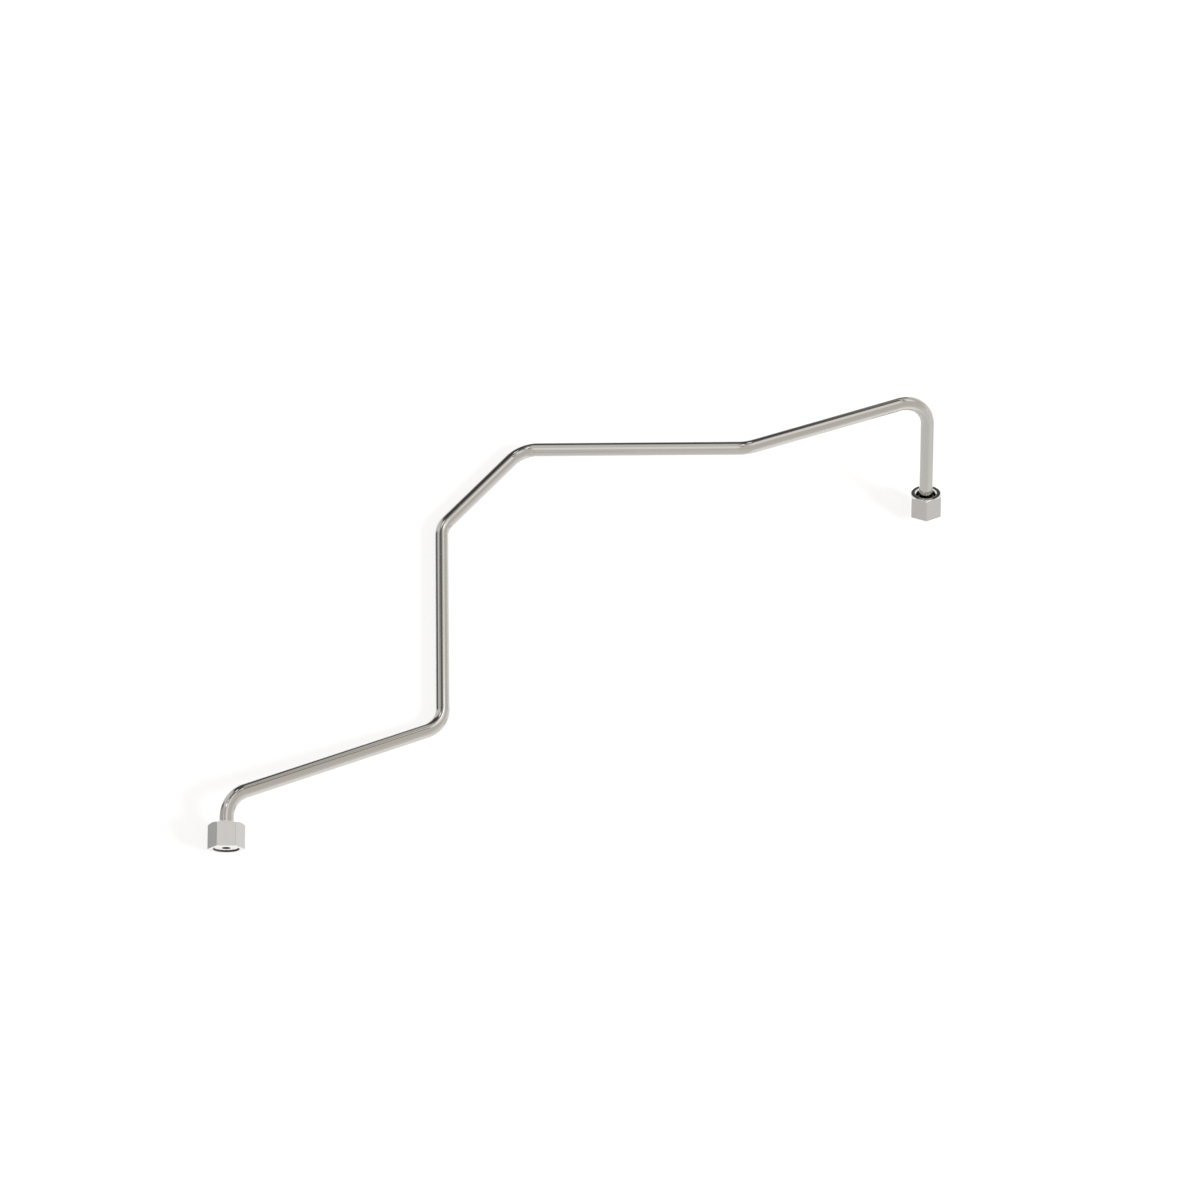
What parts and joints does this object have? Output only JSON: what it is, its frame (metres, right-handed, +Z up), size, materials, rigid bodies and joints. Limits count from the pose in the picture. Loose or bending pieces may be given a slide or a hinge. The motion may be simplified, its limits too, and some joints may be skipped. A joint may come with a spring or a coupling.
{
  "type": "transmission oil line",
  "caption": "Rigid bent steel oil line for a transmission, with a flat-face sleeve and a captive hexagon union nut at each end, lying as it comes to rest.",
  "frame": {"origin": "on the floor, in the middle of the line's bounding box seen from above", "axes": "+X from the left end to the right end, +Y to the back, +Z up from the floor on which the line lies"},
  "size_m": [0.4702, 0.4347, 0.0968],
  "materials": {
    "tube_steel": "bright drawn steel tube",
    "sleeve_steel": "turned and bright",
    "nut_steel": "machined and bright"
  },
  "bodies": {
    "line": {"tube": "tube_steel", "left_sleeve": "sleeve_steel", "right_sleeve": "sleeve_steel"},
    "left_nut": {"left_union_nut": "nut_steel"},
    "right_nut": {"right_union_nut": "nut_steel"}
  },
  "joints": [
    {"name": "left_nut_spin", "type": "hinge", "parent": "line", "child": "left_nut", "pos_m": [-0.21922, -0.2135, 0.01067], "axis": [-0.21, 0.9473, 0.2419], "continuous": true},
    {"name": "right_nut_spin", "type": "hinge", "parent": "line", "child": "right_nut", "pos_m": [0.22396, 0.17897, 0.00516], "axis": [-0.2076, 0.3905, 0.8969], "continuous": true}
  ]
}
